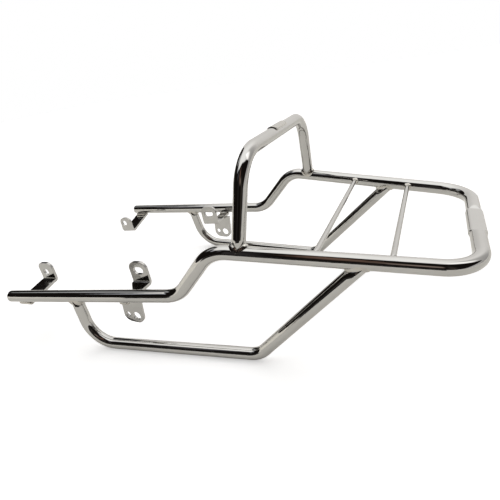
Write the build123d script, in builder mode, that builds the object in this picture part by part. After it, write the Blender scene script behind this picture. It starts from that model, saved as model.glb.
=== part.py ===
"""Rear luggage rack for a motorcycle: one bent main tube, a grab hoop, two
cross rods, two side braces and folded mounting plates, all welded together.

Units are millimetres. The rack stands on the bottom runs of its two side
braces: z = 0 is that floor, +X points to the rear of the vehicle, +Y to its
right-hand side, and y = 0 is the middle of the deck.

Every piece is laid out in the deck frame (origin on the centre line between
the two places where the deck rails begin, x rearward along the deck, z square
to the deck) and placed by the plane `deck`.
"""

import os
from math import cos, radians, sin

from build123d import *

# ---------------------------------------------------------------- dimensions
# tube sizes
RAIL_R = 8.0          # main tube, 16 mm outside
BRACE_R = 7.5         # side braces and grab hoop, 15 mm outside
WALL = 1.5            # wall of every tube
ROD_R = 3.0           # solid cross rods, 6 mm

# attitude of the deck when the rack stands on its braces
TILT = 5.48           # degrees, the deck falls to the rear
DECK_X = 41.4         # row position of the deck origin
DECK_Z = 144.35

# main tube, corner points of the centre line (left side has negative y)
ARM_L = (-311.3, -163.8, -103.2)
ARM_R = (-339.1, 157.74, -102.44)
KINK = (-47.3, 141.6, -64.4)       # lower end of the riser
DECK_START = (0.0, 140.1, 0.0)     # upper end of the riser
DECK_END = (255.3, 105.9, 0.0)     # rear corners
R_KINK = 38.0
R_START = 38.0
R_REAR = 41.0

# flat pressed into the top of the rear cross tube
FLAT_HALF = 30.0      # half length of the level part
FLAT_Z = 5.5          # level of the flat above the tube axis
FLAT_RAMP = 6.5       # run-out at each end
FLAT_CORNER = 3.0     # radius where the run-out begins
FLAT_BULGE = 1.3      # how far the pressing spreads the tube on each side

# grab hoop
HOOP_FOOT = (31.1, 136.0, 0.0)
HOOP_TOP = (28.3, 104.6, 94.0)
R_HOOP = 46.0

# cross rods
ROD_X = (105.6, 178.4)

# side braces
BRACE_FRONT_X = -199.4             # where the front end meets the arm
BRACE_LOW_FRONT = (-184.0, 157.6, -155.1)
BRACE_LOW_REAR = (46.2, 132.6, -133.0)
BRACE_REAR_X = 155.0               # where the rear end meets the deck rail
R_BRACE_FRONT = 38.0
R_BRACE_REAR = 26.0

# mounting plates, laid out in a frame pitched like the arms: u along the arm
# (rearward), w square to it (upward), both from the centre of the hole
PLATE = 4.0                        # sheet thickness
BEND_R = 2.0                       # inner radius of each fold
PITCH = 8.0                        # degrees, fall of the arms to the front
EYE_AT = (-319.2, -104.0)          # deck x, z of the front eye holes
EYE_Y = 94.8                       # middle of the front eye plates
EYE_U_L = (-12.2, 15.4)            # the two ears are cut a little differently
EYE_U_R = (-8.8, 15.2)
EYE_TOP_L = 15.5
EYE_TOP_R = 10.6
EYE_FOOT_L = -16.0                 # underside of the strip at the eye
EYE_FOOT_R = -19.0
EYE_HOLE_R = 5.25
EYE_CORNER_R = 9.0
STRIP_L = (28.0, 161.0, -12.0)     # shift, y and w of the strip's outer end
STRIP_R = (-7.5, 155.5, -7.3)
SLOT_AT = (-134.8, -68.0)          # deck x, z of the slots
SLOT_Y = 99.9                      # middle of the slotted ears
SLOT_U = (-14.0, 14.0)
SLOT_TOP = 12.6
SLOT_FOOT = -20.6
SLOT_LEN = 16.0
SLOT_R = 5.25
SLOT_CORNER_R = 10.0
SHELF_L = (0.0, 146.5, -20.8)      # the same for the slotted plates
SHELF_R = (0.0, 144.0, -19.4)
SHELF_CUT = (12.0, 14.0)           # corner cut from the front edge of that strip
TAB_Y = 132.9                      # middle of the two-hole tabs
TAB_X = (-143.7, -112.7)
TAB_LOW = -125.8
TAB_CORNER_R = 11.0
TAB_SMALL = (-136.9, -115.0)
TAB_SMALL_R = 3.75
TAB_LARGE = (-123.4, -115.3)
TAB_LARGE_R = 6.0

# blank plate on the grab hoop
BLANK_Y = (-15.0, 23.0)
BLANK_T = 1.2

# weld fillets
WELD = 3.2

# ------------------------------------------------------------- deck placement
deck = Plane(
    origin=(DECK_X, 0, DECK_Z),
    x_dir=(cos(radians(TILT)), 0, -sin(radians(TILT))),
    z_dir=(sin(radians(TILT)), 0, cos(radians(TILT))),
)


def pt(p):
    """A point of the deck frame in the row frame."""
    return deck.from_local_coords(Vector(*p))


def vec(v):
    """A direction of the deck frame in the row frame."""
    return pt(v) - pt((0, 0, 0))


def side(p, s):
    """The point p on the left (s = -1) or right (s = +1) side."""
    return (p[0], s * abs(p[1]), p[2])


def along(a, b, x):
    """The point of the line a-b at deck position x."""
    t = (x - a[0]) / (b[0] - a[0])
    return tuple(a[i] + (b[i] - a[i]) * t for i in range(3))


def arm_point(s, x):
    """Centre of the lower arm at deck position x."""
    return along(side(KINK, s), ARM_L if s < 0 else ARM_R, x)


def deck_point(s, x):
    """Centre of the deck rail at deck position x."""
    return along(side(DECK_START, s), side(DECK_END, s), x)


def run(points, radii, r, mode=Mode.ADD):
    """A round bar of radius r along straight runs joined by tangent arcs."""
    with BuildLine() as path:
        FilletPolyline(*[pt(p) for p in points], radius=radii)
    with BuildSketch(Plane(origin=path.line @ 0, z_dir=path.line % 0)) as profile:
        Circle(r)
    sweep(profile.sketch, path=path.line, mode=mode)


def bar(a, b, r, mode=Mode.ADD):
    """A straight round bar of radius r from a to b."""
    start, axis = pt(a), pt(b) - pt(a)
    with BuildSketch(Plane(origin=start, z_dir=axis)) as profile:
        Circle(r)
    extrude(profile.sketch, amount=axis.length, mode=mode)


def fillet_cone(foot, towards, r, high):
    """A weld fillet round a branch of radius r that leaves a tube at foot."""
    start, axis = pt(foot), (pt(towards) - pt(foot)).normalized()
    with BuildSketch(Plane(origin=start, z_dir=axis)) as low:
        Circle(r + WELD)
    with BuildSketch(Plane(origin=start + axis * high, z_dir=axis)) as top:
        Circle(r + 0.4)
    loft([low.sketch, top.sketch])


RAIL_POINTS = [
    ARM_L, side(KINK, -1), side(DECK_START, -1), side(DECK_END, -1),
    side(DECK_END, 1), side(DECK_START, 1), side(KINK, 1), ARM_R,
]
RAIL_RADII = [R_KINK, R_START, R_REAR, R_REAR, R_START, R_KINK]
HOOP_POINTS = [side(HOOP_FOOT, -1), side(HOOP_TOP, -1),
               side(HOOP_TOP, 1), side(HOOP_FOOT, 1)]


def brace_points(s):
    return [arm_point(s, BRACE_FRONT_X), side(BRACE_LOW_FRONT, s),
            side(BRACE_LOW_REAR, s), deck_point(s, BRACE_REAR_X)]


def die(level, half, ramp, mode):
    """The space above the pressed flat: level floor, sloped run-outs."""
    x0 = DECK_END[0]
    with BuildSketch(Plane(origin=pt((x0 - 20, 0, 0)), x_dir=(0, 1, 0), z_dir=vec((1, 0, 0)))) as s:
        with BuildLine():
            Polyline(
                (-half, level), (half, level), (half + ramp, 9.0),
                (half + ramp, 14.0), (-half - ramp, 14.0), (-half - ramp, 9.0),
                (-half, level),
            )
        make_face()
        fillet([v for v in s.vertices() if abs(v.Y - level) < 0.01 or abs(v.Y - 9.0) < 0.01], radius=FLAT_CORNER)
    extrude(s.sketch, amount=40, mode=mode)


# ------------------------------------------------------------------ main tube
# The outside of the tube, also used to cope what is welded to it.
with BuildPart() as rail_outside:
    run(RAIL_POINTS, RAIL_RADII, RAIL_R)
    die(FLAT_Z, FLAT_HALF, FLAT_RAMP, Mode.SUBTRACT)

# The bore of the tube, kept one wall below the flat.
with BuildPart() as rail_bore:
    run(RAIL_POINTS, RAIL_RADII, RAIL_R - WALL)
    die(FLAT_Z - WALL, FLAT_HALF + 1.5, FLAT_RAMP, Mode.SUBTRACT)

with BuildPart() as main_rail:
    add(rail_outside.part)
    # metal spread sideways by the pressing
    with BuildSketch(Plane(origin=pt((DECK_END[0], -FLAT_HALF - 3, 0)), x_dir=vec((1, 0, 0)), z_dir=(0, 1, 0))) as band:
        RectangleRounded(2 * (RAIL_R + FLAT_BULGE), 2 * FLAT_Z, FLAT_Z - 0.05)
    extrude(band.sketch, amount=2 * (FLAT_HALF + 3))
    add(rail_bore.part, mode=Mode.SUBTRACT)
main_rail.part.label = "main_rail"


# ------------------------------------------------------------------ grab hoop
with BuildPart() as grab_hoop:
    run(HOOP_POINTS, [R_HOOP, R_HOOP], BRACE_R)
    run(HOOP_POINTS, [R_HOOP, R_HOOP], BRACE_R - WALL, Mode.SUBTRACT)
    add(rail_outside.part, mode=Mode.SUBTRACT)
    # what is left inside the rail's bore is not part of the hoop
    add(rail_bore.part, mode=Mode.SUBTRACT)
grab_hoop.part.label = "grab_hoop"

# A thin blank plate bent over the top bar of the hoop.
with BuildPart() as hoop_blank:
    top = HOOP_TOP
    with BuildSketch(Plane(origin=pt((top[0], BLANK_Y[0], top[2])), x_dir=vec((1, 0, 0)), z_dir=(0, 1, 0))) as section:
        with BuildLine():
            outer = CenterArc((0, 0), BRACE_R + BLANK_T, 35 - 180, 110)
            inner = CenterArc((0, 0), BRACE_R, 35 - 180, 110)
            Line(outer @ 0, inner @ 0)
            Line(outer @ 1, inner @ 1)
        make_face()
    extrude(section.sketch, amount=BLANK_Y[1] - BLANK_Y[0])
hoop_blank.part.label = "hoop_blank"


# ----------------------------------------------------------------- cross rods
def make_rod(x, name):
    with BuildPart() as rod:
        bar(deck_point(-1, x), deck_point(1, x), ROD_R)
        add(rail_outside.part, mode=Mode.SUBTRACT)
    rod.part.label = name
    return rod.part


rod_front = make_rod(ROD_X[0], "rod_front")
rod_rear = make_rod(ROD_X[1], "rod_rear")


# ---------------------------------------------------------------- side braces
def make_brace(s, name):
    with BuildPart() as brace:
        run(brace_points(s), [R_BRACE_FRONT, R_BRACE_REAR], BRACE_R)
        run(brace_points(s), [R_BRACE_FRONT, R_BRACE_REAR], BRACE_R - WALL, Mode.SUBTRACT)
        add(rail_outside.part, mode=Mode.SUBTRACT)
    brace.part.label = name
    return brace.part


brace_left = make_brace(-1, "brace_left")
brace_right = make_brace(1, "brace_right")


# ------------------------------------------------------------ mounting plates
def plate_axes(at):
    """Origin and u, w directions of a mounting plate's own frame."""
    c, s = cos(radians(PITCH)), sin(radians(PITCH))
    return pt((at[0], 0, at[1])), vec((c, 0, s)), vec((-s, 0, c))


def folded_plate(s, at, y, us, top, foot, outer, corner_r, hole_r, slot_len, cut=None):
    """An ear that stands on edge, folded from a strip that runs out to the arm."""
    o, u_dir, w_dir = plate_axes(at)
    shift, y_out, w_out = outer
    h = PLATE / 2
    rise = (w_out - foot) / (y_out - (y - h))      # slope of the strip
    with BuildPart() as plate:
        with BuildSketch(Plane(origin=o - u_dir * 60, x_dir=(0, 1, 0), z_dir=u_dir)) as fold:
            with BuildLine():
                Polyline(
                    (s * (y - h), foot), (s * y_out, w_out), (s * y_out, w_out + PLATE),
                    (s * (y + h), foot + PLATE + rise * PLATE), (s * (y + h), top),
                    (s * (y - h), top), (s * (y - h), foot),
                )
            make_face()
            fillet([v for v in fold.vertices() if abs(v.X - s * (y + h)) < 0.01 and v.Y < top - 1], radius=BEND_R)
            fillet([v for v in fold.vertices() if abs(v.X - s * (y - h)) < 0.01 and v.Y < top - 1], radius=BEND_R + PLATE)
        extrude(fold.sketch, amount=140)
        with BuildSketch(Plane(origin=o - w_dir * 40, x_dir=u_dir, z_dir=w_dir)) as plan:
            with BuildLine():
                front = [(us[0], s * (y - 5)), (us[0], s * (y + 6))]
                if cut:
                    front += [(us[0] + cut[0], s * (y + 6 + cut[1]))]
                front += [(us[0] + shift + (cut[0] if cut else 0), s * (y_out + 2))]
                Polyline(
                    *front, (us[1] + shift, s * (y_out + 2)), (us[1], s * (y + 6)),
                    (us[1], s * (y - 5)), (us[0], s * (y - 5)),
                )
            make_face()
        extrude(plan.sketch, amount=90, mode=Mode.INTERSECT)
        ends = plate.edges().filter_by(Axis.Y).sort_by(lambda e: (e.center() - o).dot(w_dir))[-2:]
        fillet(ends, radius=corner_r)
        with BuildSketch(Plane(origin=o + Vector(0, s * (y - 8), 0), x_dir=u_dir, z_dir=(0, s, 0))) as hole:
            if slot_len:
                SlotOverall(slot_len, 2 * hole_r)
            else:
                Circle(hole_r)
        extrude(hole.sketch, amount=16, mode=Mode.SUBTRACT)
        add(rail_outside.part, mode=Mode.SUBTRACT)
    return plate


def make_front(s, name):
    us, top, foot, outer = (EYE_U_L, EYE_TOP_L, EYE_FOOT_L, STRIP_L) if s < 0 else (EYE_U_R, EYE_TOP_R, EYE_FOOT_R, STRIP_R)
    plate = folded_plate(s, EYE_AT, EYE_Y, us, top, foot, outer, EYE_CORNER_R, EYE_HOLE_R, 0)
    plate.part.label = name
    return plate.part


def make_slotted(s, name):
    plate = folded_plate(s, SLOT_AT, SLOT_Y, SLOT_U, SLOT_TOP, SLOT_FOOT, SHELF_L if s < 0 else SHELF_R, SLOT_CORNER_R, SLOT_R, SLOT_LEN, SHELF_CUT)
    plate.part.label = name
    return plate.part


front_plate_left = make_front(-1, "front_plate_left")
front_plate_right = make_front(1, "front_plate_right")
slot_plate_left = make_slotted(-1, "slot_plate_left")
slot_plate_right = make_slotted(1, "slot_plate_right")


def make_tab(s, shelf, name):
    """A flat tab with two holes that hangs from the strip of a slotted plate."""
    with BuildPart() as tab:
        with BuildSketch(Plane(origin=pt((0, s * TAB_Y, 0)) - Vector(0, PLATE / 2, 0), x_dir=-vec((1, 0, 0)), z_dir=(0, 1, 0))) as outline:
            with BuildLine():
                Polyline(
                    (-TAB_X[0], TAB_LOW), (-TAB_X[1], TAB_LOW), (-TAB_X[1], -80.0),
                    (-TAB_X[0], -80.0), (-TAB_X[0], TAB_LOW),
                )
            make_face()
            fillet([v for v in outline.vertices() if v.Y < -100], radius=TAB_CORNER_R)
            with Locations((-TAB_SMALL[0], TAB_SMALL[1])):
                Circle(TAB_SMALL_R, mode=Mode.SUBTRACT)
            with Locations((-TAB_LARGE[0], TAB_LARGE[1])):
                Circle(TAB_LARGE_R, mode=Mode.SUBTRACT)
        extrude(outline.sketch, amount=PLATE)
        add(shelf, mode=Mode.SUBTRACT)
        # the tab ends at the underside of the strip
        o, u_dir, w_dir = plate_axes(SLOT_AT)
        with BuildSketch(Plane(origin=o + w_dir * (SHELF_L[2] + 1.0), x_dir=u_dir, z_dir=w_dir)) as above:
            Rectangle(120, 400)
        extrude(above.sketch, amount=40, mode=Mode.SUBTRACT)
    tab.part.label = name
    return tab.part


tab_plate_left = make_tab(-1, slot_plate_left, "tab_plate_left")
tab_plate_right = make_tab(1, slot_plate_right, "tab_plate_right")


# ------------------------------------------------------------ plugs, arm ends
def make_plug(s, name):
    """A disc that closes the cut end of an arm, set just inside the tube."""
    end = pt(ARM_L if s < 0 else ARM_R)
    inward = (pt(side(KINK, s)) - end).normalized()
    with BuildPart() as plug:
        with BuildSketch(Plane(origin=end + inward * 0.6, z_dir=inward)) as disc:
            Circle(RAIL_R - WALL)
        extrude(disc.sketch, amount=2.5)
    plug.part.label = name
    return plug.part


plug_left = make_plug(-1, "plug_left")
plug_right = make_plug(1, "plug_right")


# ---------------------------------------------------------------------- welds
def weld_ring(foot, towards, r, high, out, lift):
    """A fillet of weld metal in the corner between a branch and the main tube,
    kept on the side of the tube that faces along out."""
    with BuildPart() as ring:
        fillet_cone(foot, towards, r, high)
        add(rail_outside.part, mode=Mode.SUBTRACT)
        bar(foot, towards, r, Mode.SUBTRACT)
        split(bisect_by=Plane(origin=pt(foot) + vec(out) * lift, z_dir=vec(out)), keep=Keep.TOP)
    return ring.part.solids().sort_by(lambda p: p.volume)[-1]


PITCH_DOWN = (sin(radians(PITCH)), 0, -cos(radians(PITCH)))
hoop_welds = Compound(children=[weld_ring(side(HOOP_FOOT, s), side(HOOP_TOP, s), BRACE_R, 12.5, (0, 0, 1), 2.5) for s in (-1, 1)])
hoop_welds.label = "hoop_welds"
brace_front_welds = Compound(children=[weld_ring(arm_point(s, BRACE_FRONT_X), side(BRACE_LOW_FRONT, s), BRACE_R, 12.0, PITCH_DOWN, 2.5) for s in (-1, 1)])
brace_front_welds.label = "brace_front_welds"
brace_rear_welds = Compound(children=[weld_ring(deck_point(s, BRACE_REAR_X), side(BRACE_LOW_REAR, s), BRACE_R, 16.5, (0, 0, -1), 2.5) for s in (-1, 1)])
brace_rear_welds.label = "brace_rear_welds"
rod_welds = Compound(children=[weld_ring(deck_point(s, x), deck_point(-s, x), ROD_R, 10.5, (0, -s, 0), 4.5) for x in ROD_X for s in (-1, 1)])
rod_welds.label = "rod_welds"


def strip_beads(s, at, us, outer, foot, y, plate):
    """Beads where a strip meets the underside of the arm: one along its outer
    end and one in the corner on the inner side of the arm."""
    o, u_dir, w_dir = plate_axes(at)
    shift, y_out, w_out = outer
    h = PLATE / 2
    rise = (w_out - foot) / (y_out - (y - h))
    beads = []
    for yy, over, r, cut in ((y_out + 0.6, 1.3, 2.7, 1.0), (y_out - 5.4, PLATE + 0.3, 3.0, 1.0)):
        drift = shift * (yy - (y + 6)) / (y_out + 2 - (y + 6))
        ww = w_out + rise * (yy - y_out) + over
        a = o + u_dir * (us[0] + drift + cut) + Vector(0, s * yy, 0) + w_dir * ww
        with BuildPart() as bead:
            with BuildSketch(Plane(origin=a, z_dir=u_dir)) as profile:
                Circle(r)
            extrude(profile.sketch, amount=us[1] - us[0] - 2 * cut)
            add(rail_outside.part, mode=Mode.SUBTRACT)
            add(plate, mode=Mode.SUBTRACT)
        beads.append(bead.part.solids().sort_by(lambda p: p.volume)[-1])
    return beads


front_plate_welds = Compound(children=(
    strip_beads(-1, EYE_AT, EYE_U_L, STRIP_L, EYE_FOOT_L, EYE_Y, front_plate_left)
    + strip_beads(1, EYE_AT, EYE_U_R, STRIP_R, EYE_FOOT_R, EYE_Y, front_plate_right)))
front_plate_welds.label = "front_plate_welds"
shelf_u = (SLOT_U[0] + SHELF_CUT[0], SLOT_U[1])
slot_plate_welds = Compound(children=(
    strip_beads(-1, SLOT_AT, shelf_u, SHELF_L, SLOT_FOOT, SLOT_Y, slot_plate_left)
    + strip_beads(1, SLOT_AT, shelf_u, SHELF_R, SLOT_FOOT, SLOT_Y, slot_plate_right)))
slot_plate_welds.label = "slot_plate_welds"


def tab_beads(s, shelf, tab, outer):
    """A bead on each face of a tab, in the corner under the strip."""
    o, u_dir, w_dir = plate_axes(SLOT_AT)
    shift, y_out, w_out = outer
    rise = (w_out - SLOT_FOOT) / (y_out - (SLOT_Y - PLATE / 2))
    beads = []
    for k in (-1, 1):
        yy = TAB_Y + k * (PLATE / 2 + 0.3)
        ww = w_out + rise * (yy - y_out) - 0.4
        a = o + u_dir * (shelf_u[0] + 0.5) + Vector(0, s * yy, 0) + w_dir * ww
        with BuildPart() as bead:
            with BuildSketch(Plane(origin=a, z_dir=u_dir)) as profile:
                Circle(2.0)
            extrude(profile.sketch, amount=shelf_u[1] - shelf_u[0] - 1.0)
            add(shelf, mode=Mode.SUBTRACT)
            add(tab, mode=Mode.SUBTRACT)
        beads.append(bead.part.solids().sort_by(lambda p: p.volume)[-1])
    return beads


tab_welds = Compound(children=(
    tab_beads(-1, slot_plate_left, tab_plate_left, SHELF_L)
    + tab_beads(1, slot_plate_right, tab_plate_right, SHELF_R)))
tab_welds.label = "tab_welds"

# ----------------------------------------------------------------- export
os.makedirs("parts", exist_ok=True)
pieces = {
    "main_rail": main_rail.part, "grab_hoop": grab_hoop.part, "hoop_blank": hoop_blank.part,
    "rod_front": rod_front, "rod_rear": rod_rear,
    "brace_left": brace_left, "brace_right": brace_right,
    "front_plate_left": front_plate_left, "front_plate_right": front_plate_right,
    "slot_plate_left": slot_plate_left, "slot_plate_right": slot_plate_right,
    "tab_plate_left": tab_plate_left, "tab_plate_right": tab_plate_right,
    "plug_left": plug_left, "plug_right": plug_right,
    "hoop_welds": hoop_welds, "brace_front_welds": brace_front_welds,
    "brace_rear_welds": brace_rear_welds, "rod_welds": rod_welds,
    "front_plate_welds": front_plate_welds, "slot_plate_welds": slot_plate_welds,
    "tab_welds": tab_welds,
}
whole = [p.bounding_box() for p in pieces.values()]
print("x", min(b.min.X for b in whole), max(b.max.X for b in whole))
print("y", min(b.min.Y for b in whole), max(b.max.Y for b in whole))
print("z", min(b.min.Z for b in whole), max(b.max.Z for b in whole))
for name, piece in pieces.items():
    export_step(piece, f"parts/{name}.step")
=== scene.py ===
"""Looks of the rear luggage rack: polished tube, folded plates, weld beads.

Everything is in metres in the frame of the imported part: +X rear, +Y right,
z = 0 is the floor that the rack stands on. The numbers below are the part's
own dimensions in millimetres, in the deck frame.
"""

import math
import random

import bmesh
import bpy
from mathutils import Matrix, Vector, noise


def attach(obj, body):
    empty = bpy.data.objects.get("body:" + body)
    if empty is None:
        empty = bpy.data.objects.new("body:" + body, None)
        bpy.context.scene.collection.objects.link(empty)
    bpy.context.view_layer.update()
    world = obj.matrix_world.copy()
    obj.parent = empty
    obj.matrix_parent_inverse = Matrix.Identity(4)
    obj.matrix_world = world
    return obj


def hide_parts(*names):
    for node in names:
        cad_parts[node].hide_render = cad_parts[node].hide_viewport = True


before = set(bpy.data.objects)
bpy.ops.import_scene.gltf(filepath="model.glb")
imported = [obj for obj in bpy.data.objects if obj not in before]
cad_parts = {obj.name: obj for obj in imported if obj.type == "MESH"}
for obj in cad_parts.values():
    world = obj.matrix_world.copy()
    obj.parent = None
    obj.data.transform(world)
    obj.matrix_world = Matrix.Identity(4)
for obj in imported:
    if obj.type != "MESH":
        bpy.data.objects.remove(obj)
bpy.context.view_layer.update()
scene = bpy.context.scene
MM = 0.001

# ------------------------------------------------------------- part's numbers
RAIL_R, BRACE_R, ROD_R, WALL = 8.0, 7.5, 3.0, 1.5
TILT = math.radians(5.48)
DECK_X, DECK_Z = 41.4, 144.35
ARM = {-1: (-311.3, -163.8, -103.2), 1: (-339.1, 157.74, -102.44)}
KINK = (-47.3, 141.6, -64.4)
DECK_START = (0.0, 140.1, 0.0)
DECK_END = (255.3, 105.9, 0.0)
R_KINK, R_START, R_REAR = 38.0, 38.0, 41.0
FLAT_HALF, FLAT_Z, FLAT_RAMP, FLAT_BULGE = 30.0, 5.5, 6.5, 1.27
HOOP_FOOT, HOOP_TOP, R_HOOP = (31.1, 136.0, 0.0), (28.3, 104.6, 94.0), 46.0
ROD_X = (105.6, 178.4)
BRACE_FRONT_X, BRACE_REAR_X = -199.4, 155.0
BRACE_LOW_FRONT, BRACE_LOW_REAR = (-184.0, 157.6, -155.1), (46.2, 132.6, -133.0)
R_BRACE_FRONT, R_BRACE_REAR = 38.0, 26.0
PLATE, PITCH = 4.0, math.radians(8.0)
EYE_AT, EYE_Y = (-319.2, -104.0), 94.8
EYE_U = {-1: (-12.2, 15.4), 1: (-8.8, 15.2)}
EYE_FOOT = {-1: -16.0, 1: -19.0}
STRIP = {-1: (28.0, 161.0, -12.0), 1: (-7.5, 155.5, -7.3)}
SLOT_AT, SLOT_Y, SLOT_FOOT = (-134.8, -68.0), 99.9, -20.6
SHELF_U = (-2.0, 14.0)
SHELF = {-1: (0.0, 146.5, -20.8), 1: (0.0, 144.0, -19.4)}
TAB_Y = 132.9
BLANK_Y, BLANK_T = (-15.0, 23.0), 1.2


def V(p):
    return Vector(p)


def side(p, s):
    return Vector((p[0], s * abs(p[1]), p[2]))


def along(a, b, x):
    a, b = Vector(a), Vector(b)
    return a + (b - a) * ((x - a.x) / (b.x - a.x))


def arm_point(s, x):
    return along(side(KINK, s), ARM[s], x)


def deck_point(s, x):
    return along(side(DECK_START, s), side(DECK_END, s), x)


COS, SIN = math.cos(TILT), math.sin(TILT)


def to_row(p):
    """Deck frame in mm to the row frame in metres."""
    return Vector((p.x * COS + p.z * SIN + DECK_X, p.y, -p.x * SIN + p.z * COS + DECK_Z)) * MM


# ------------------------------------------------------------- mesh utilities
def link(obj):
    scene.collection.objects.link(obj)
    return obj


def finish_mesh(bm, name, smooth=True):
    bmesh.ops.recalc_face_normals(bm, faces=bm.faces)
    me = bpy.data.meshes.new(name)
    bm.to_mesh(me)
    bm.free()
    for p in me.polygons:
        p.use_smooth = smooth
    return link(bpy.data.objects.new(name, me))


def route(points, radii, step, fine=None, arc_step=1.6):
    """Centre line of straight runs joined by tangent arcs: [(point, tangent)].
    fine gives the step of single runs by their number."""
    pts = [Vector(p) for p in points]
    fine = fine or {}
    corners = []
    for i in range(1, len(pts) - 1):
        d0, d1 = (pts[i] - pts[i - 1]).normalized(), (pts[i + 1] - pts[i]).normalized()
        bend = d0.angle(d1)
        corners.append((pts[i], d0, d1, bend, radii[i - 1] * math.tan(bend / 2), radii[i - 1]))
    out = []
    for k in range(len(pts) - 1):
        a, b = pts[k], pts[k + 1]
        d = (b - a).normalized()
        if k > 0:
            a = a + d * corners[k - 1][4]
        if k < len(corners):
            b = b - d * corners[k][4]
        length = (b - a).length
        n = max(1, math.ceil(length / fine.get(k, step)))
        for j in range(n + 1):
            if j == n and k < len(corners):
                continue
            out.append((a + d * (length * j / n), d.copy()))
        if k < len(corners):
            c, d0, d1, bend, back, r = corners[k]
            axis = d0.cross(d1).normalized()
            inward = axis.cross(d0)
            centre = c - d0 * back + inward * r
            m = max(2, math.ceil(math.degrees(bend) / arc_step))
            for j in range(m):
                turn = Matrix.Rotation(bend * j / m, 3, axis)
                out.append((centre + turn @ (-inward * r), (turn @ d0).normalized()))
    return out


def frames(line, first):
    """Parallel-transported normals along a centre line."""
    n = (first - line[0][1] * first.dot(line[0][1])).normalized()
    out = []
    prev = line[0][1]
    for p, t in line:
        n = prev.rotation_difference(t) @ n
        n = (n - t * n.dot(t)).normalized()
        prev = t
        out.append((p, t, n, t.cross(n)))
    return out


def cylinder_root(p, a, c, d, r):
    """How far along a (from p) the line leaves the cylinder of radius r round c, d."""
    u = a - d * a.dot(d)
    w = (p - c) - d * (p - c).dot(d)
    A, B, C = u.dot(u), 2 * u.dot(w), w.dot(w) - r * r
    return (-B + math.sqrt(max(B * B - 4 * A * C, 0.0))) / (2 * A)


class Rings:
    """A closed tube made of rings of points in the deck frame, in mm."""

    def __init__(self, sides):
        self.sides = sides
        self.rings = []
        self.run = []

    def add(self, points, s):
        self.rings.append(points)
        self.run.append(s)

    def build(self, name, radius):
        bm = bmesh.new()
        uv = bm.loops.layers.uv.new("tube")
        n = self.sides
        verts = [[bm.verts.new(to_row(p)) for p in ring] for ring in self.rings]
        for i in range(len(verts) - 1):
            for j in range(n):
                k = (j + 1) % n
                f = bm.faces.new((verts[i][j], verts[i][k], verts[i + 1][k], verts[i + 1][j]))
                for loop, (ii, jj) in zip(f.loops, ((i, j), (i, j + 1), (i + 1, j + 1), (i + 1, j))):
                    loop[uv].uv = (self.run[ii] * MM, jj * 2 * math.pi * radius * MM / n)
        for ring, flip in ((0, False), (-1, True)):
            mid = sum(self.rings[ring], Vector()) / n
            c = bm.verts.new(to_row(mid))
            for j in range(n):
                k = (j + 1) % n
                bm.faces.new((verts[ring][j], verts[ring][k], c))
        return finish_mesh(bm, name)


def circle(p, n, b, r, sides):
    return [p + (n * math.cos(2 * math.pi * j / sides) + b * math.sin(2 * math.pi * j / sides)) * r for j in range(sides)]


def run_lengths(fr):
    out, s = [0.0], 0.0
    for i in range(1, len(fr)):
        s += (fr[i][0] - fr[i - 1][0]).length
        out.append(s)
    return out


# ---------------------------------------------------------------- main tube
def flat_level(y):
    y = abs(y)
    slope = (9.0 - FLAT_Z) / FLAT_RAMP
    e = 1.0
    if y < FLAT_HALF - e:
        return FLAT_Z
    if y < FLAT_HALF + e:
        return FLAT_Z + slope * (y - FLAT_HALF + e) ** 2 / (4 * e)
    return FLAT_Z + slope * (y - FLAT_HALF)


def smooth01(x):
    x = min(max(x, 0.0), 1.0)
    return x * x * (3 - 2 * x)


def press(p):
    """The flat pressed into the top of the rear cross tube."""
    if p.x < DECK_END[0] - 12 or abs(p.y) > FLAT_HALF + FLAT_RAMP + 3:
        return p
    level, k = flat_level(p.y), 1.1
    h = min(max(0.5 + 0.5 * (level - p.z) / k, 0.0), 1.0)
    z = level * (1 - h) + p.z * h - k * h * (1 - h)
    spread = FLAT_BULGE / RAIL_R * (1 - smooth01((abs(p.y) - FLAT_HALF + 2) / 5)) * smooth01((p.z + 7) / 7)
    return Vector((DECK_END[0] + (p.x - DECK_END[0]) * (1 + spread), p.y, z))


def make_rail():
    sides = 96
    pts = [Vector(ARM[-1]), side(KINK, -1), side(DECK_START, -1), side(DECK_END, -1),
           side(DECK_END, 1), side(DECK_START, 1), side(KINK, 1), Vector(ARM[1])]
    line = route(pts, [R_KINK, R_START, R_REAR, R_REAR, R_START, R_KINK], 8.0, {3: 0.35})
    fr = frames(line, Vector((0, 0, 1)))
    rings = Rings(sides)
    lip = [(12.0, RAIL_R - WALL), (0.5, RAIL_R - WALL), (0.2, RAIL_R - WALL + 0.1), (0.0, RAIL_R - WALL + 0.35)]
    lip += [(0.7 - 0.7 * math.sin(a), RAIL_R - 0.7 + 0.7 * math.cos(a)) for a in [math.radians(90 - 15 * i) for i in range(7)]]
    p, t, n, b = fr[0]
    for off, r in lip:
        rings.add(circle(p + t * off, n, b, r, sides), off)
    lengths = run_lengths(fr)
    for (p, t, n, b), s in list(zip(fr, lengths))[1:-1]:
        rings.add([press(q) for q in circle(p, n, b, RAIL_R, sides)], s)
    p, t, n, b = fr[-1]
    for off, r in reversed(lip):
        rings.add(circle(p - t * off, n, b, r, sides), lengths[-1] - off)
    return rings.build("rail_tube", RAIL_R)


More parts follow.
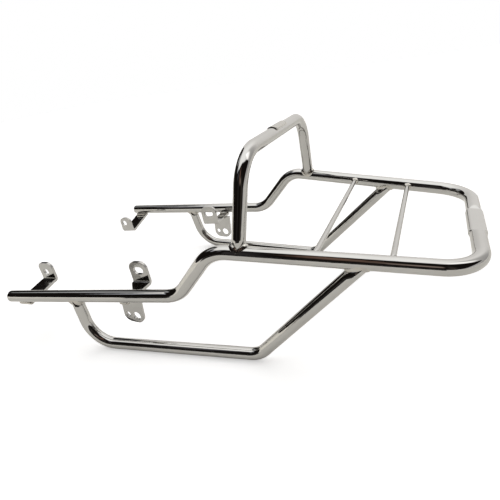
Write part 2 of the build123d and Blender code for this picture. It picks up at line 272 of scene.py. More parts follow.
# --------------------------------------------------------- hoop, braces, rods
def make_branch(name, pts, radii, r, lines, sides=80, first=None, arc_step=1.6):
    """A tube whose two ends are coped into the main tube. lines gives, for each
    end, a point and direction of the main tube's axis there."""
    fr = frames(route(pts, radii, 8.0, arc_step=arc_step), first or Vector((1, 0, 0)))
    lengths = run_lengths(fr)
    rings = Rings(sides)
    ends = []
    for (p, t, n, b), (c, d) in ((fr[0], lines[0]), (fr[-1], lines[1])):
        sign = 1 if p is fr[0][0] else -1
        a = t * sign
        edge, far = [], 0.0
        for q in circle(p, n, b, r, sides):
            m = cylinder_root(q, a, c, d, RAIL_R - 0.4)
            far = max(far, m)
            edge.append(q + a * m)
        ends.append((edge, far))
    total = lengths[-1]
    rings.add(ends[0][0], 0.0)
    for (p, t, n, b), s in zip(fr, lengths):
        if s > ends[0][1] + 0.5 and total - s > ends[1][1] + 0.5:
            rings.add(circle(p, n, b, r, sides), s)
    rings.add(ends[1][0], total)
    return rings.build(name, r)


def rail_axis(s, where):
    if where == "deck":
        a, b = side(DECK_START, s), side(DECK_END, s)
    else:
        a, b = Vector(ARM[s]), side(KINK, s)
    return a, (b - a).normalized()


def weld_ring(name, foot, towards, r, line, width, bulge, pitch, seed, steps=420, across=11):
    """A rippled bead in the corner where a branch meets the main tube."""
    c, d = line
    a = (towards - foot).normalized()
    n = (d - a * d.dot(a)).normalized()
    b = a.cross(n)
    rng = random.Random(seed)
    saddle, normals = [], []
    for i in range(steps):
        phi = 2 * math.pi * i / steps
        out = n * math.cos(phi) + b * math.sin(phi)
        q = foot + out * r
        p = q + a * cylinder_root(q, a, c, d, RAIL_R)
        w = (p - c) - d * (p - c).dot(d)
        saddle.append(p)
        normals.append((out, w.normalized()))
    length = [0.0]
    for i in range(steps):
        length.append(length[-1] + (saddle[(i + 1) % steps] - saddle[i]).length)
    total = length[-1]
    waves = max(6, round(total / pitch))
    bumps = [rng.uniform(0.75, 1.25) for _ in range(waves)]
    drift = [rng.uniform(-0.3, 0.3) for _ in range(waves)]
    bm = bmesh.new()
    rows = []
    for i in range(steps):
        p = saddle[i]
        t = (saddle[(i + 1) % steps] - saddle[i - 1]).normalized()
        nb, nr = normals[i]
        e1 = (nb - t * nb.dot(t))
        e1 = (e1 - nr * e1.dot(nr))
        e2 = (nr - t * nr.dot(t))
        e2 = (e2 - nb * e2.dot(nb))
        e1 = e1.normalized() if e1.length > 1e-6 else d.copy()
        e2 = e2.normalized() if e2.length > 1e-6 else a.copy()
        mid = (nb + nr).normalized()
        wob = 1 + 0.10 * math.sin(2 * math.pi * 3 * length[i] / total + seed) + 0.06 * math.sin(2 * math.pi * 7 * length[i] / total + 2 * seed)
        w = width * wob
        # feet of the bead on the two tubes, sunk a little
        f1 = p + e1 * w
        ax = c + d * (f1 - c).dot(d)
        f1 = ax + (f1 - ax).normalized() * (RAIL_R - 0.25)
        f2 = p + e2 * w
        ax = foot + a * (f2 - foot).dot(a)
        f2 = ax + (f2 - ax).normalized() * (r - 0.25)
        row = []
        for j in range(across):
            u = j / (across - 1)
            ripple_at = length[i] / total * waves + 0.55 * (1 - (2 * u - 1) ** 2)
            k = int(math.floor(ripple_at)) % waves
            frac = ripple_at - math.floor(ripple_at) + 0.12 * drift[k]
            scale = (max(0.0, math.sin(math.pi * min(max(frac, 0.0), 1.0))) ** 0.6 - 0.6) * bumps[k]
            high = bulge * math.sin(math.pi * u) * (1 + 0.10 * noise.noise(p * 0.35))
            high += 0.15 * scale * math.sin(math.pi * u)
            row.append(f1.lerp(f2, u) + mid * high)
        rows.append([bm.verts.new(to_row(q)) for q in row])
    inner = [bm.verts.new(to_row(p - (normals[i][0] + normals[i][1]) * 0.6)) for i, p in enumerate(saddle)]
    for i in range(steps):
        k = (i + 1) % steps
        for j in range(across - 1):
            bm.faces.new((rows[i][j], rows[i][j + 1], rows[k][j + 1], rows[k][j]))
        bm.faces.new((rows[i][across - 1], inner[i], inner[k], rows[k][across - 1]))
        bm.faces.new((inner[i], rows[i][0], rows[k][0], inner[k]))
    return finish_mesh(bm, name)


def weld_bar(name, a, u_dir, length, r, seed, sides=28):
    """A straight rippled bead with tapered ends."""
    rng = random.Random(seed)
    n = Vector((0, 1, 0))
    b = u_dir.cross(n).normalized()
    n = b.cross(u_dir).normalized()
    steps = max(24, int(length / 0.22))
    pitch = 2.0
    bumps = [rng.uniform(0.8, 1.2) for _ in range(200)]
    bm = bmesh.new()
    rows = []
    for i in range(steps + 1):
        s = length * i / steps
        end = min(s, length - s)
        taper = math.sqrt(max(0.0, 1 - (1 - min(end / (0.8 * r), 1.0)) ** 2)) * 0.92 + 0.08
        row = []
        for j in range(sides):
            phi = 2 * math.pi * j / sides
            out = n * math.cos(phi) + b * math.sin(phi)
            at = s / pitch + 0.25 * math.cos(phi * 2 + seed)
            k = int(at) % 200
            wave = max(0.0, math.sin(math.pi * (at - math.floor(at)))) ** 0.6 - 0.6
            rr = r * taper * (1 + 0.05 * noise.noise(Vector((s * 0.3, seed, 0)))) + 0.11 * wave * bumps[k] * taper
            row.append(bm.verts.new(to_row(a + u_dir * s + out * rr)))
        rows.append(row)
    for i in range(steps):
        for j in range(sides):
            k = (j + 1) % sides
            bm.faces.new((rows[i][j], rows[i][k], rows[i + 1][k], rows[i + 1][j]))
    for row, s in ((rows[0], 0.0), (rows[-1], length)):
        c = bm.verts.new(to_row(a + u_dir * s))
        for j in range(sides):
            bm.faces.new((row[j], row[(j + 1) % sides], c))
    return finish_mesh(bm, name)


# plate frame, the same directions in deck coordinates
U_DIR = Vector((math.cos(PITCH), 0, math.sin(PITCH)))
W_DIR = Vector((-math.sin(PITCH), 0, math.cos(PITCH)))


def strip_beads(tag, s, at, us, outer, foot, y, seed):
    o = Vector((at[0], 0, at[1]))
    shift, y_out, w_out = outer
    rise = (w_out - foot) / (y_out - (y - PLATE / 2))
    made = []
    for k, (yy, over, r, cut) in enumerate(((y_out + 0.6, 1.3, 2.7, 1.0), (y_out - 5.4, PLATE + 0.3, 3.0, 1.0))):
        drift = shift * (yy - (y + 6)) / (y_out + 2 - (y + 6))
        ww = w_out + rise * (yy - y_out) + over
        a = o + U_DIR * (us[0] + drift + cut) + Vector((0, s * yy, 0)) + W_DIR * ww
        made.append(weld_bar(f"{tag}_{'outer' if k == 0 else 'inner'}", a, U_DIR, us[1] - us[0] - 2 * cut, r, seed + k))
    return made


def tab_beads(tag, s, outer, seed):
    o = Vector((SLOT_AT[0], 0, SLOT_AT[1]))
    shift, y_out, w_out = outer
    rise = (w_out - SLOT_FOOT) / (y_out - (SLOT_Y - PLATE / 2))
    made = []
    for k in (-1, 1):
        yy = TAB_Y + k * (PLATE / 2 + 0.3)
        ww = w_out + rise * (yy - y_out) - 0.4
        a = o + U_DIR * (SHELF_U[0] + 0.5) + Vector((0, s * yy, 0)) + W_DIR * ww
        made.append(weld_bar(f"{tag}_{'inner' if k < 0 else 'outer'}", a, U_DIR, SHELF_U[1] - SHELF_U[0] - 1.0, 2.0, seed + k))
    return made


def soften(node, name, width):
    """A copy of a CAD plate with the rounded edges of a stamped part."""
    bm = bmesh.new()
    bm.from_mesh(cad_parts[node].data)
    bmesh.ops.remove_doubles(bm, verts=bm.verts, dist=3e-6)
    bmesh.ops.dissolve_limit(bm, angle_limit=math.radians(0.5), verts=bm.verts, edges=bm.edges)
    sharp = [e for e in bm.edges if len(e.link_faces) == 2 and e.calc_face_angle(0.0) > math.radians(40)]
    bmesh.ops.bevel(bm, geom=sharp, offset=width * MM, segments=3, profile=0.5, affect="EDGES", clamp_overlap=True)
    obj = finish_mesh(bm, name)
    mod = obj.modifiers.new("even", "WEIGHTED_NORMAL")
    mod.mode, mod.weight, mod.keep_sharp = "FACE_AREA", 80, False
    return obj


def make_plug(s, name):
    """A disc set into the cut end of an arm, with a soft edge and a low crown."""
    end = Vector(ARM[s])
    inward = (side(KINK, s) - end).normalized()
    n = (Vector((0, 0, 1)) - inward * inward.z).normalized()
    b = inward.cross(n)
    R = RAIL_R - WALL
    profile = [(3.0, 0.001), (3.0, R), (1.3, R), (0.95, R - 0.12), (0.75, R - 0.4)]
    profile += [(0.75 - 0.13 * (1 - (r / 5.6) ** 2), r) for r in (5.6, 4.4, 3.2, 2.0, 0.9, 0.001)]
    sides = 64
    bm = bmesh.new()
    rows = [[bm.verts.new(to_row(q)) for q in circle(end + inward * off, n, b, r, sides)] for off, r in profile]
    for i in range(len(rows) - 1):
        for j in range(sides):
            k = (j + 1) % sides
            bm.faces.new((rows[i][j], rows[i][k], rows[i + 1][k], rows[i + 1][j]))
    bmesh.ops.remove_doubles(bm, verts=bm.verts, dist=5e-6)
    return finish_mesh(bm, name)


def make_blank():
    """The raised plate bent over the top of the hoop, with rounded corners."""
    top = Vector(HOOP_TOP)
    y0, y1 = BLANK_Y
    half = math.radians(55)
    r_in, r_out = BRACE_R, BRACE_R + BLANK_T
    arc = r_out * half
    corner, edge = 3.0, 0.45
    cols, rws = 280, 130

    def inset(a, y):
        """Distance to the rounded rectangle's border, positive inside."""
        cx, cy = arc - corner, (y1 - y0) / 2 - corner
        dx, dy = abs(a) - cx, abs(y - (y0 + y1) / 2) - cy
        outside = math.hypot(max(dx, 0), max(dy, 0)) + min(max(dx, dy), 0)
        return corner - outside

    bm = bmesh.new()
    grid = {}
    for i in range(cols + 1):
        for j in range(rws + 1):
            y = y0 + (y1 - y0) * (0.5 - 0.5 * math.cos(math.pi * i / cols))
            a = arc * -math.cos(math.pi * j / rws)
            # pull the corners in on to the rounded outline
            cx, cy = arc - corner, (y1 - y0) / 2 - corner
            ym = y - (y0 + y1) / 2
            dx, dy = abs(a) - cx, abs(ym) - cy
            if dx > 0 and dy > 0:
                m = max(dx, dy)
                f = m / math.hypot(dx, dy)
                a, ym = math.copysign(cx + dx * f, a), math.copysign(cy + dy * f, ym)
            y = ym + (y0 + y1) / 2
            d = max(inset(a, y), 0.0)
            drop = edge - math.sqrt(max(edge * edge - max(edge - d, 0.0) ** 2, 0.0))
            r = r_out - drop - 0.55 * math.exp(-((d - 1.6) / 0.45) ** 2)
            phi = a / r_out
            grid[i, j] = (bm.verts.new(to_row(top + Vector((r * math.sin(phi), y - top.y, r * math.cos(phi))))), phi, y)
    for i in range(cols):
        for j in range(rws):
            bm.faces.new([grid[k][0] for k in ((i, j), (i + 1, j), (i + 1, j + 1), (i, j + 1))])
    ring = [(i, 0) for i in range(cols)] + [(cols, j) for j in range(rws)] + [(i, rws) for i in range(cols, 0, -1)] + [(0, j) for j in range(rws, 0, -1)]
    foot = []
    for k in ring:
        _, phi, y = grid[k]
        r = r_in - 0.3
        foot.append(bm.verts.new(to_row(top + Vector((r * math.sin(phi), y - top.y, r * math.cos(phi))))))
    for m in range(len(ring)):
        q = (m + 1) % len(ring)
        bm.faces.new((grid[ring[m]][0], grid[ring[q]][0], foot[q], foot[m]))
    under = bm.faces.new(foot)
    bmesh.ops.triangulate(bm, faces=[under])
    return finish_mesh(bm, "hoop_plate")


# ------------------------------------------------------------------ materials
def nodes_of(name):
    m = bpy.data.materials.new(name)
    m.use_nodes = True
    nt = m.node_tree
    nt.nodes.clear()
    out = nt.nodes.new("ShaderNodeOutputMaterial")
    bsdf = nt.nodes.new("ShaderNodeBsdfPrincipled")
    nt.links.new(bsdf.outputs["BSDF"], out.inputs["Surface"])
    return m, nt, bsdf


def make_chrome(name, light, dark, rough_lo, rough_hi, wave=0.06, scratch=0.03, tube=True, spots=0.0):
    """Polished plated steel: faint tint clouds, hazy patches and hairline
    polishing marks in the roughness, a slow waviness of the surface."""
    m, nt, bsdf = nodes_of(name)
    N, L = nt.nodes.new, nt.links.new
    coord = N("ShaderNodeTexCoord")

    def noise_tex(scale, detail, rough, vec, stretch=None):
        mapping = N("ShaderNodeMapping")
        mapping.inputs["Scale"].default_value = stretch or (1, 1, 1)
        L(vec, mapping.inputs["Vector"])
        t = N("ShaderNodeTexNoise")
        t.inputs["Scale"].default_value = scale
        t.inputs["Detail"].default_value = detail
        t.inputs["Roughness"].default_value = rough
        L(mapping.outputs["Vector"], t.inputs["Vector"])
        return t.outputs["Fac"]

    def remap(fac, lo, hi, a, b):
        r = N("ShaderNodeMapRange")
        r.interpolation_type = "SMOOTHSTEP"
        for key, val in (("From Min", lo), ("From Max", hi), ("To Min", a), ("To Max", b)):
            r.inputs[key].default_value = val
        L(fac, r.inputs["Value"])
        return r.outputs["Result"]

    def mathn(op, a, b):
        n = N("ShaderNodeMath")
        n.operation = op
        for i, x in enumerate((a, b)):
            if isinstance(x, (int, float)):
                n.inputs[i].default_value = x
            else:
                L(x, n.inputs[i])
        return n.outputs[0]

    clouds = noise_tex(22.0, 3.0, 0.5, coord.outputs["Object"])
    mix = N("ShaderNodeMix")
    mix.data_type = "RGBA"
    mix.inputs["A"].default_value = (*dark, 1)
    mix.inputs["B"].default_value = (*light, 1)
    L(remap(clouds, 0.3, 0.7, 0.0, 1.0), mix.inputs["Factor"])
    L(mix.outputs["Result"], bsdf.inputs["Base Color"])
    bsdf.inputs["Metallic"].default_value = 1.0

    haze = noise_tex(60.0, 4.0, 0.55, coord.outputs["Object"])
    if tube:
        lines = noise_tex(1.0, 4.0, 0.6, coord.outputs["UV"], (60.0, 2600.0, 1.0))
        rings = noise_tex(1.0, 3.0, 0.6, coord.outputs["UV"], (2200.0, 40.0, 1.0))
        hair = mathn("MULTIPLY", remap(lines, 0.55, 0.75, 0.0, 1.0), remap(rings, 0.35, 0.65, 0.2, 1.0))
    else:
        hair = remap(noise_tex(1.0, 4.0, 0.6, coord.outputs["Object"], (1800.0, 90.0, 260.0)), 0.55, 0.75, 0.0, 1.0)
    rough = mathn("ADD", remap(haze, 0.35, 0.7, rough_lo, rough_hi), mathn("MULTIPLY", hair, scratch))
    if spots:
        speck = noise_tex(900.0, 2.0, 0.5, coord.outputs["Object"])
        rough = mathn("ADD", rough, remap(speck, 0.66, 0.74, 0.0, spots))
    L(rough, bsdf.inputs["Roughness"])

    slow = noise_tex(48.0, 2.0, 0.5, coord.outputs["Object"])
    b1 = N("ShaderNodeBump")
    b1.inputs["Strength"].default_value = wave
    b1.inputs["Distance"].default_value = 0.004
    L(slow, b1.inputs["Height"])
    b2 = N("ShaderNodeBump")
    b2.inputs["Strength"].default_value = 0.02
    b2.inputs["Distance"].default_value = 0.0002
    L(hair, b2.inputs["Height"])
    L(b1.outputs["Normal"], b2.inputs["Normal"])
    L(b2.outputs["Normal"], bsdf.inputs["Normal"])
    return m


def make_weld():
    m, nt, bsdf = nodes_of("weld_metal")
    N, L = nt.nodes.new, nt.links.new
    coord = N("ShaderNodeTexCoord")
    t = N("ShaderNodeTexNoise")
    t.inputs["Scale"].default_value = 160.0
    t.inputs["Detail"].default_value = 3.0
    L(coord.outputs["Object"], t.inputs["Vector"])
    ramp = N("ShaderNodeValToRGB")
    el = ramp.color_ramp.elements
    el[0].position, el[0].color = 0.30, (0.49, 0.475, 0.455, 1)
    el[1].position, el[1].color = 0.72, (0.58, 0.575, 0.56, 1)
    e = el.new(0.52)
    e.color = (0.56, 0.535, 0.49, 1)
    L(t.outputs["Fac"], ramp.inputs["Fac"])
    L(ramp.outputs["Color"], bsdf.inputs["Base Color"])
    bsdf.inputs["Metallic"].default_value = 1.0
    r = N("ShaderNodeMapRange")
    r.inputs["From Min"].default_value, r.inputs["From Max"].default_value = 0.3, 0.7
    r.inputs["To Min"].default_value, r.inputs["To Max"].default_value = 0.03, 0.09
    t2 = N("ShaderNodeTexNoise")
    t2.inputs["Scale"].default_value = 700.0
    L(coord.outputs["Object"], t2.inputs["Vector"])
    L(t2.outputs["Fac"], r.inputs["Value"])
    L(r.outputs["Result"], bsdf.inputs["Roughness"])
    b = N("ShaderNodeBump")
    b.inputs["Strength"].default_value = 0.12
    b.inputs["Distance"].default_value = 0.0002
    L(t2.outputs["Fac"], b.inputs["Height"])
    L(b.outputs["Normal"], bsdf.inputs["Normal"])
    return m


LIGHT, DARK = (0.550, 0.543, 0.530), (0.520, 0.512, 0.498)
chrome = make_chrome("polished_tube", LIGHT, DARK, 0.010, 0.030, wave=0.04, scratch=0.02)
chrome_thin = make_chrome("polished_rod", LIGHT, DARK, 0.04, 0.08)
chrome_plate = make_chrome("polished_plate", LIGHT, DARK, 0.07, 0.14, wave=0.10, scratch=0.06, tube=False, spots=0.05)
chrome_blank = make_chrome("satin_plate", (0.56, 0.545, 0.515), (0.50, 0.485, 0.455), 0.12, 0.20, wave=0.05, scratch=0.06, tube=False)
weld_metal = make_weld()

# --------------------------------------------------------------------- pieces
made = []


def place(objs, material, slot, *replaced):
    for k, o in enumerate(objs):
        o.data.materials.clear()
        o.data.materials.append(material)
        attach(o, "root")
        if k == 0:
            for r in replaced:
                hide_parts(r)
        made.append(o)


place([make_rail()], chrome, "tube", "main_rail")
hoop_pts = [side(HOOP_FOOT, -1), side(HOOP_TOP, -1), side(HOOP_TOP, 1), side(HOOP_FOOT, 1)]
place([make_branch("hoop_tube", hoop_pts, [R_HOOP, R_HOOP], BRACE_R, (rail_axis(-1, "deck"), rail_axis(1, "deck")))],
      chrome, "tube", "grab_hoop")
for s, tag in ((-1, "left"), (1, "right")):
    pts = [arm_point(s, BRACE_FRONT_X), side(BRACE_LOW_FRONT, s), side(BRACE_LOW_REAR, s), deck_point(s, BRACE_REAR_X)]
    place([make_branch(f"brace_tube_{tag}", pts, [R_BRACE_FRONT, R_BRACE_REAR], BRACE_R,
                       (rail_axis(s, "arm"), rail_axis(s, "deck")), first=Vector((0, 1, 0)))],
          chrome, "tube", f"brace_{tag}")
for x, tag in zip(ROD_X, ("front", "rear")):
    place([make_branch(f"cross_rod_{tag}", [deck_point(-1, x), deck_point(1, x)], [], ROD_R,
                       (rail_axis(-1, "deck"), rail_axis(1, "deck")), sides=48)],
          chrome_thin, "rod", f"rod_{tag}")

for node in ("front_plate_left", "front_plate_right", "slot_plate_left", "slot_plate_right", "tab_plate_left", "tab_plate_right"):
    place([soften(node, node.replace("plate", "bracket"), 0.45)], chrome_plate, "plate", node)
for s, tag in ((-1, "left"), (1, "right")):
    place([make_plug(s, f"end_disc_{tag}")], chrome_plate, "plug", f"plug_{tag}")
place([make_blank()], chrome_blank, "blank", "hoop_blank")

beads = [weld_ring(f"hoop_bead_{t}", side(HOOP_FOOT, s), side(HOOP_TOP, s), BRACE_R, rail_axis(s, "deck"), 3.0, 0.55, 2.3, 3 + s)
         for s, t in ((-1, "left"), (1, "right"))]
place(beads, weld_metal, "weld", "hoop_welds")
beads = [weld_ring(f"brace_front_bead_{t}", arm_point(s, BRACE_FRONT_X), side(BRACE_LOW_FRONT, s), BRACE_R, rail_axis(s, "arm"), 4.2, 0.1, 2.3, 7 + s)
         for s, t in ((-1, "left"), (1, "right"))]
place(beads, weld_metal, "weld", "brace_front_welds")
beads = [weld_ring(f"brace_rear_bead_{t}", deck_point(s, BRACE_REAR_X), side(BRACE_LOW_REAR, s), BRACE_R, rail_axis(s, "deck"), 3.2, 0.5, 2.3, 11 + s)
         for s, t in ((-1, "left"), (1, "right"))]
place(beads, weld_metal, "weld", "brace_rear_welds")
beads = []
for x, t in zip(ROD_X, ("front", "rear")):
    for s, tt in ((-1, "left"), (1, "right")):
        beads.append(weld_ring(f"rod_{t}_bead_{tt}", deck_point(s, x), deck_point(-s, x), ROD_R, rail_axis(s, "deck"), 2.3, 0.35, 2.0, 17 + s, steps=240))
place(beads, weld_metal, "weld", "rod_welds")
beads = strip_beads("front_plate_bead_left", -1, EYE_AT, EYE_U[-1], STRIP[-1], EYE_FOOT[-1], EYE_Y, 31) \
    + strip_beads("front_plate_bead_right", 1, EYE_AT, EYE_U[1], STRIP[1], EYE_FOOT[1], EYE_Y, 37)
place(beads, weld_metal, "weld", "front_plate_welds")
beads = strip_beads("slot_plate_bead_left", -1, SLOT_AT, SHELF_U, SHELF[-1], SLOT_FOOT, SLOT_Y, 41) \
    + strip_beads("slot_plate_bead_right", 1, SLOT_AT, SHELF_U, SHELF[1], SLOT_FOOT, SLOT_Y, 43)
place(beads, weld_metal, "weld", "slot_plate_welds")
beads = tab_beads("tab_bead_left", -1, SHELF[-1], 51) + tab_beads("tab_bead_right", 1, SHELF[1], 57)
place(beads, weld_metal, "weld", "tab_welds")

# ---------------------------------------------------------------------- stage
class Nodes:
    """Short spelling for arithmetic in a node tree."""

    def __init__(self, tree):
        self.nt = tree

    def new(self, kind):
        return self.nt.nodes.new(kind)

    def put(self, value, socket):
        if isinstance(value, (int, float)):
            socket.default_value = value
        else:
            self.nt.links.new(value, socket)

    def math(self, op, *args):
        n = self.new("ShaderNodeMath")
        n.operation = op
        for i, x in enumerate(args):
            self.put(x, n.inputs[i])
        return n.outputs[0]

    def step(self, value, lo, hi, a=0.0, b=1.0):
        """A smooth step from a to b as value goes from lo to hi."""
        n = self.new("ShaderNodeMapRange")
        n.interpolation_type = "SMOOTHSTEP"
        for key, x in (("Value", value), ("From Min", lo), ("From Max", hi), ("To Min", a), ("To Max", b)):
            self.put(x, n.inputs[key])
        return n.outputs["Result"]

    def curve(self, value, points, lo, hi):
        """A smooth function of an angle from -180 to 180, given by points."""
        n = self.new("ShaderNodeFloatCurve")
        c = n.mapping.curves[0]
        n.mapping.use_clip = False
        pts = [((x + 180) / 360, (y - lo) / (hi - lo)) for x, y in points]
        while len(c.points) < len(pts):
            c.points.new(0.5, 0.5)
        for q, p in zip(c.points, pts):
            q.location = p
        n.mapping.update()
        self.put(self.math("MULTIPLY_ADD", value, 1 / 360, 0.5), n.inputs["Value"])
        return self.math("MULTIPLY_ADD", n.outputs[0], hi - lo, lo)

    def blob(self, az, el, at, size, soft):
        """1 inside an ellipse round a direction, falling smoothly to 0."""
        dx = self.math("DIVIDE", self.math("SUBTRACT", az, at[0]), size[0])
        dy = self.math("DIVIDE", self.math("SUBTRACT", el, at[1]), size[1])
        r = self.math("SQRT", self.math("ADD", self.math("MULTIPLY", dx, dx), self.math("MULTIPLY", dy, dy)))
        return self.step(r, 1 + soft, 1 - soft)

    def mix(self, fac, a, b):
        n = self.new("ShaderNodeMix")
        n.data_type = "RGBA"
        self.put(fac, n.inputs["Factor"])
        for x, key in ((a, "A"), (b, "B")):
            if isinstance(x, tuple):
                n.inputs[key].default_value = (*x, 1)
            else:
                self.nt.links.new(x, n.inputs[key])
        return n.outputs["Result"]


def make_floor():
    """A plain pale table top. Its own mirror image in the chrome is a little
    darker and warmer than what the camera sees: painted shade, a shaded copy of its colour with less glow for every ray
    but the camera's."""
    bm = bmesh.new()
    n, half = 24, 6.0
    grid = [[bm.verts.new((half * (2 * i / n - 1), half * (2 * j / n - 1), 0.0)) for j in range(n + 1)] for i in range(n + 1)]
    for i in range(n):
        for j in range(n):
            bm.faces.new((grid[i][j], grid[i + 1][j], grid[i + 1][j + 1], grid[i][j + 1]))
    obj = finish_mesh(bm, "floor")
    m, nt, bsdf = nodes_of("pale_floor")
    g = Nodes(nt)
    path = g.new("ShaderNodeLightPath")
    bsdf.inputs["Roughness"].default_value = 1.0
    bsdf.inputs["Specular IOR Level"].default_value = 0.0
    # Painted shade: rays other than the camera's get a warmer, shaded copy of the floor's colour, so its mirror image
    # in the chrome is darker
    nt.links.new(g.mix(path.outputs["Is Camera Ray"], FLOOR_SHADED_IN_CHROME, FLOOR_CAMERA), bsdf.inputs["Base Color"])
    bsdf.inputs["Emission Color"].default_value = (1, 1, 1, 1)
    # Painted light: the camera's view of the floor gets extra glow, so it looks evenly white and its shadow is washed
    # out; the chrome sees only the weaker glow
    nt.links.new(g.math("MULTIPLY_ADD", path.outputs["Is Camera Ray"], 0.39, 0.11), bsdf.inputs["Emission Strength"])
    obj.data.materials.append(m)
    return obj


# The floor's two colours: a painted shaded copy for its mirror image in the chrome, and the one the camera sees
FLOOR_SHADED_IN_CHROME, FLOOR_CAMERA = (0.97, 0.95, 0.895), (0.97, 0.97, 0.98)
floor = make_floor()


def make_flag(name, corners):
    """A dark card on the camera's side of the table, seen only in the chrome."""
    bm = bmesh.new()
    n = 8
    p = [Vector(c) for c in corners]
    rows = [[bm.verts.new(p[0].lerp(p[1], i / n).lerp(p[3].lerp(p[2], i / n), j / n)) for j in range(n + 1)] for i in range(n + 1)]
    for i in range(n):
        for j in range(n):
            bm.faces.new((rows[i][j], rows[i + 1][j], rows[i + 1][j + 1], rows[i][j + 1]))
    obj = finish_mesh(bm, name)
    m, nt, bsdf = nodes_of(name)
    bsdf.inputs["Base Color"].default_value = (0.02, 0.018, 0.016, 1)
    bsdf.inputs["Roughness"].default_value = 0.9
    obj.data.materials.append(m)
    obj.visible_camera = obj.visible_shadow = obj.visible_diffuse = False
    return obj


make_flag("flag_front", [(-0.50, -0.72, 0.0), (0.05, -0.78, 0.0), (0.05, -0.78, 0.22), (-0.50, -0.72, 0.22)])
make_flag("flag_right", [(0.05, -0.78, 0.0), (0.60, -0.80, 0.0), (0.60, -0.80, 0.22), (0.05, -0.78, 0.22)])

card = make_flag("card_side", [(-0.95, 0.05, 0.0), (-0.42, -0.66, 0.0), (-0.42, -0.66, 0.09), (-0.95, 0.05, 0.20)])
card_mat = card.data.materials[0].node_tree.nodes["Principled BSDF"]
card_mat.inputs["Base Color"].default_value = (0.8, 0.78, 0.73, 1)
card_mat.inputs["Emission Color"].default_value = (1.0, 0.97, 0.90, 1)
card_mat.inputs["Emission Strength"].default_value = 0.42

# The room round the table, as soft light: a white ceiling panel and a white
# backdrop behind the rack, a dark room on the camera's side, and one lamp.
world = bpy.data.worlds.new("studio")
scene.world = world
world.use_nodes = True
world.node_tree.nodes.clear()
g = Nodes(world.node_tree)
coord = g.new("ShaderNodeTexCoord")
xyz = g.new("ShaderNodeSeparateXYZ")
g.put(coord.outputs["Generated"], xyz.inputs[0])
x, y, z = xyz.outputs
AZ_ = g.math("MULTIPLY", g.math("ARCTAN2", y, x), 180 / math.pi)
EL_ = g.math("MULTIPLY", g.math("ARCSINE", g.math("MINIMUM", g.math("MAXIMUM", z, -1.0), 1.0)), 180 / math.pi)

# upper and lower edge of the dark room, in degrees above the horizon
upper = g.curve(AZ_, [(-180, 52), (-160, 50), (-140, 50), (-122, 58), (-108, 65), (-90, 71), (-70, 73), (-50, 70),
                      (-32, 67), (-16, 60), (0, 52), (12, 38), (22, 22), (34, -20), (60, -40), (120, -40),
                      (129, -20), (138, 40), (156, 52), (180, 52)], -60, 90)
lower = g.curve(AZ_, [(-180, -2), (-160, -2), (-145, 0), (-128, 2), (-112, -2), (-98, -10), (-80, -13), (-62, -6),
                      (-45, -2), (-25, 1), (-8, 8), (10, 12), (22, 14), (34, 30), (60, 60), (120, 60),
                      (129, 40), (138, 7), (156, 2), (180, -2)], -60, 90)
dark = g.math("MULTIPLY",
              g.step(g.math("SUBTRACT", EL_, lower), -2.5, 3.5),
              g.step(g.math("SUBTRACT", EL_, upper), 3.0, -4.0))

rise = g.step(EL_, 0.0, 78.0, 0.0, 1.0)
level = g.math("ADD", 0.88, g.math("MULTIPLY", rise, 0.54))
turn_down = g.curve(AZ_, [(-180, 0.95), (-120, 0.92), (-60, 0.85), (-20, 0.80), (5, 0.75), (20, 0.62), (38, 0.58), (52, 0.82), (66, 1.06),
                          (85, 1.02), (105, 0.93), (125, 0.90), (145, 0.94), (165, 0.95), (180, 0.95)], 0, 2)
near_top = g.step(EL_, 44.0, 74.0)
amount = g.math("MULTIPLY", level, g.math("ADD", turn_down, g.math("MULTIPLY", near_top, g.math("SUBTRACT", 1.0, turn_down))))
amount = g.math("ADD", amount, g.math("MULTIPLY", g.blob(AZ_, EL_, (20, 52), (13, 20), 0.45), 1.0))
tint = g.mix(g.step(EL_, 20.0, 80.0), (1.0, 0.98, 0.95), (1.0, 1.0, 0.985))
scaled = g.new("ShaderNodeVectorMath")
scaled.operation = "SCALE"
g.put(tint, scaled.inputs[0])
g.put(amount, scaled.inputs["Scale"])

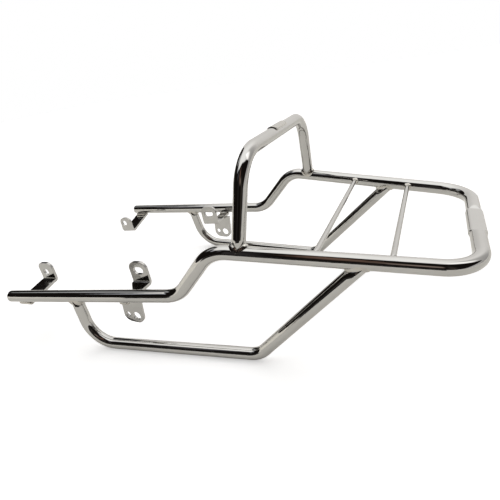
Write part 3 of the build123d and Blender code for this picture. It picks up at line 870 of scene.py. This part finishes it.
# the dark room isn't empty: a curtain, a window and a few dim shapes
gloom = g.mix(g.blob(AZ_, EL_, (-81, 45), (8, 15), 0.8), (0.010, 0.008, 0.007), (0.21, 0.13, 0.10))
gloom = g.mix(g.blob(AZ_, EL_, (-69, 29), (6, 7), 0.8), gloom, (0.34, 0.27, 0.23))
gloom = g.mix(g.blob(AZ_, EL_, (-48, 14), (8, 22), 0.8), gloom, (0.05, 0.043, 0.036))
gloom = g.mix(g.blob(AZ_, EL_, (-99, 18), (4, 30), 0.8), gloom, (0.04, 0.036, 0.036))
gloom = g.mix(g.blob(AZ_, EL_, (173, 42), (18, 9), 0.5), gloom, (0.52, 0.53, 0.54))
gloom = g.mix(g.blob(AZ_, EL_, (-150, 45), (7, 5), 0.6), gloom, (0.70, 0.72, 0.78))
gloom = g.mix(g.blob(AZ_, EL_, (-118, 42), (5, 8), 0.8), gloom, (0.12, 0.115, 0.13))
sky = g.mix(dark, scaled.outputs[0], gloom)
path = g.new("ShaderNodeLightPath")
seen = g.mix(path.outputs["Is Camera Ray"], sky, (1.0, 1.0, 1.0))
w_bg = g.new("ShaderNodeBackground")
g.put(seen, w_bg.inputs["Color"])
w_bg.inputs["Strength"].default_value = 1.0
w_out = g.new("ShaderNodeOutputWorld")
g.put(w_bg.outputs[0], w_out.inputs["Surface"])

# --------------------------------------------------------------------- camera
AZ, EL, ROLL = math.radians(24.266), math.radians(27.445), math.radians(-4.004)
back = Vector((math.sin(AZ) * math.cos(EL), -math.cos(AZ) * math.cos(EL), math.sin(EL)))
right = (-back).cross(Vector((0, 0, 1))).normalized()
up = right.cross(-back)
cam_x = right * math.cos(ROLL) + up * math.sin(ROLL)
cam_y = -right * math.sin(ROLL) + up * math.cos(ROLL)


def turn(v):
    return Vector((v.x * COS + v.z * SIN, v.y, -v.x * SIN + v.z * COS))


cam_data = bpy.data.cameras.new("camera")
cam_data.sensor_width = 36.0
cam_data.lens = 36.0 * 400.642 / 500
cam_data.shift_x, cam_data.shift_y = -0.00065, -0.00104
cam_data.clip_start, cam_data.clip_end = 0.01, 50
camera = link(bpy.data.objects.new("camera", cam_data))
basis = Matrix((turn(cam_x), turn(cam_y), turn(back))).transposed().to_4x4()
camera.matrix_world = Matrix.Translation(to_row(Vector((191.15, -460.58, 191.39)))) @ basis
scene.camera = camera

scene.view_settings.view_transform = "Standard"
scene.view_settings.look = "None"
